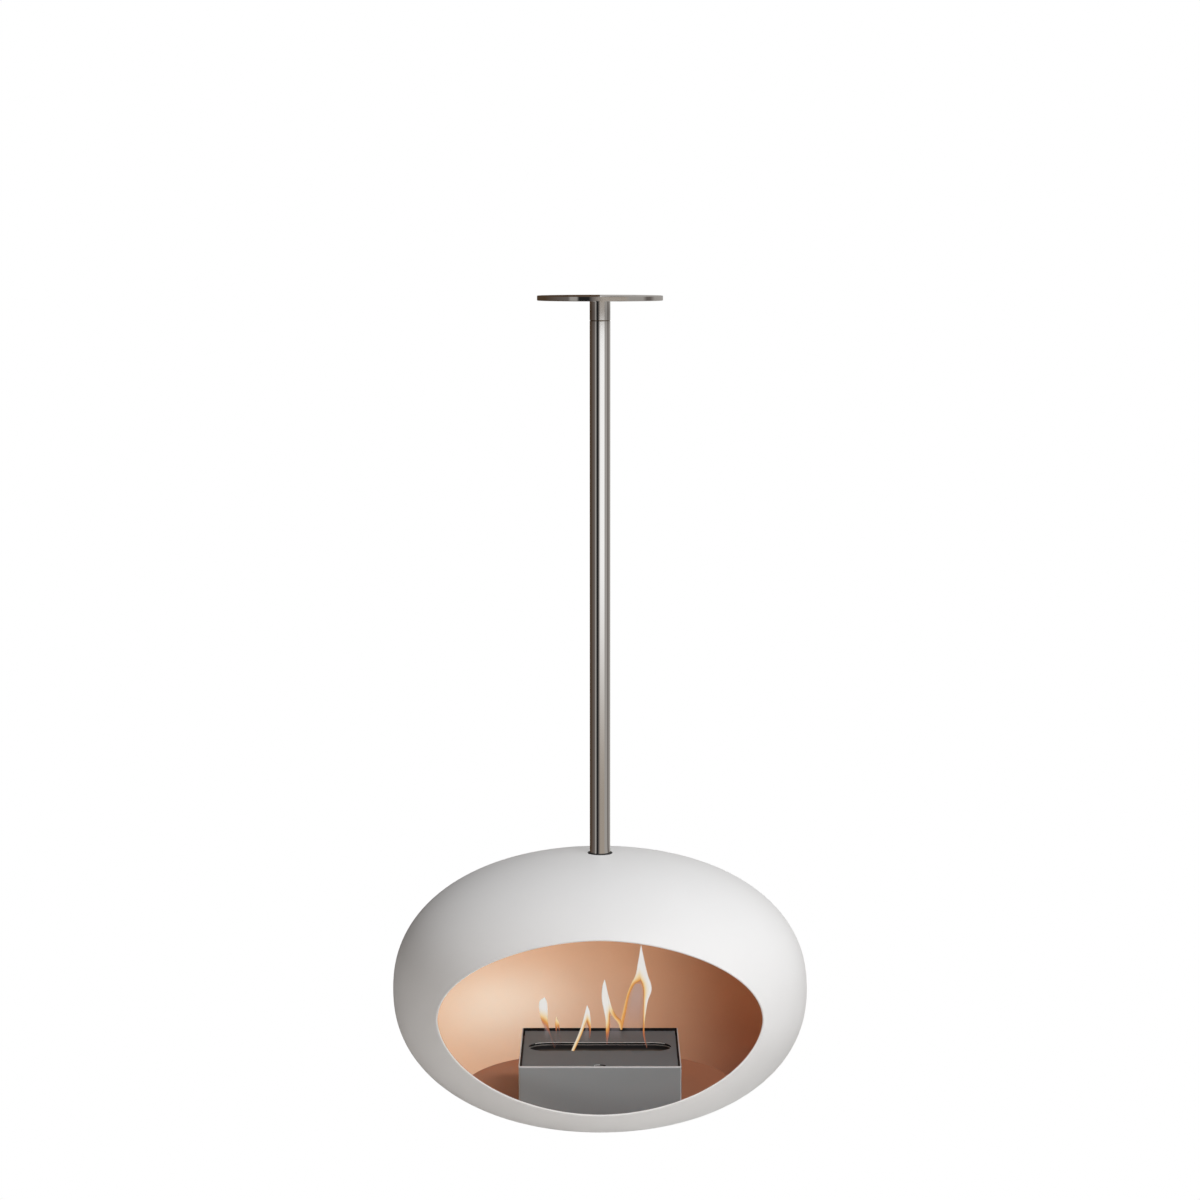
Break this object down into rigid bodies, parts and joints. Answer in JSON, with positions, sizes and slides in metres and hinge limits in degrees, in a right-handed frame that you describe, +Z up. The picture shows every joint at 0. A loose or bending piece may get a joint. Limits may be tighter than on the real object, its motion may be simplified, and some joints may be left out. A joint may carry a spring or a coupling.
{
  "type": "hanging fireplace",
  "caption": "Oval white fire bowl with a wide front mouth and copper-toned inside, hung on a steel pole that swivels under a ceiling plate, holding a lift-out liquid-fuel burner box.",
  "frame": {"origin": "centre of the ceiling plate's top face, which lies against the ceiling", "axes": "+Z up along the pole, the mouth of the bowl faces -Y, +X to the right as seen from the front"},
  "size_m": [0.6868, 0.6271, 1.369],
  "materials": {
    "brushed_stainless": "satin, brushed along the pole",
    "machined_steel": "turned",
    "bearing_steel": "ground",
    "zinc_steel": "zinc plated",
    "bronze": "plain",
    "black_rubber": "matt",
    "white_paint": "fine satin powder coat",
    "copper_paint": "satin metallic",
    "hearth_paint": "satin metallic",
    "burner_paint": "satin",
    "cover_paint": "satin",
    "tank_steel": "satin, heat stained",
    "ceramic_fibre": "matt, sooted"
  },
  "bodies": {
    "ceiling_mount": {"ceiling_plate": "brushed_stainless", "plate_neck": "brushed_stainless", "neck_grub_screw": "zinc_steel", "pivot_shaft": "machined_steel", "seam_washer": "bronze", "bearing_lower_race": "bearing_steel", "pivot_nut": "zinc_steel", "pivot_locknut": "zinc_steel"},
    "ball_cage": {"bearing_balls": "bearing_steel", "bearing_cage": "bronze"},
    "bowl": {"bearing_upper_race": "bearing_steel", "swivel_housing": "machined_steel", "upper_bush": "bronze", "lower_bush": "bronze", "housing_screws": "zinc_steel", "pole_tube": "brushed_stainless", "pole_foot_plug": "machined_steel", "foot_gasket": "black_rubber", "outer_shell": "white_paint", "inner_liner": "copper_paint", "backing_disc": "machined_steel", "hanger_washer": "zinc_steel", "hanger_nut": "zinc_steel", "hanger_locknut": "zinc_steel", "hearth_floor": "hearth_paint"},
    "burner": {"burner_casing": "burner_paint", "burner_feet": "black_rubber", "cover_ledges": "burner_paint", "tank_rests": "zinc_steel", "fuel_tank": "tank_steel", "wick_block": "ceramic_fibre"},
    "cover": {"cover_plate": "cover_paint"}
  },
  "joints": [
    {"name": "swivel", "type": "hinge", "parent": "ceiling_mount", "child": "bowl", "pos_m": [0, 0, -0.0712], "axis": [0, 0, 1], "continuous": true},
    {"name": "cage_spin", "type": "hinge", "parent": "ceiling_mount", "child": "ball_cage", "pos_m": [0, 0, -0.1057], "axis": [0, 0, 1], "continuous": true},
    {"name": "burner_lift", "type": "slide", "parent": "bowl", "child": "burner", "axis": [0, 0, 1], "range_m": [0, 0.1]},
    {"name": "cover_lift", "type": "slide", "parent": "burner", "child": "cover", "axis": [0, 0, 1], "range_m": [0, 0.06]}
  ],
  "couplings": [
    {"joint": "cage_spin", "follows": "swivel", "ratio": 0.5}
  ]
}
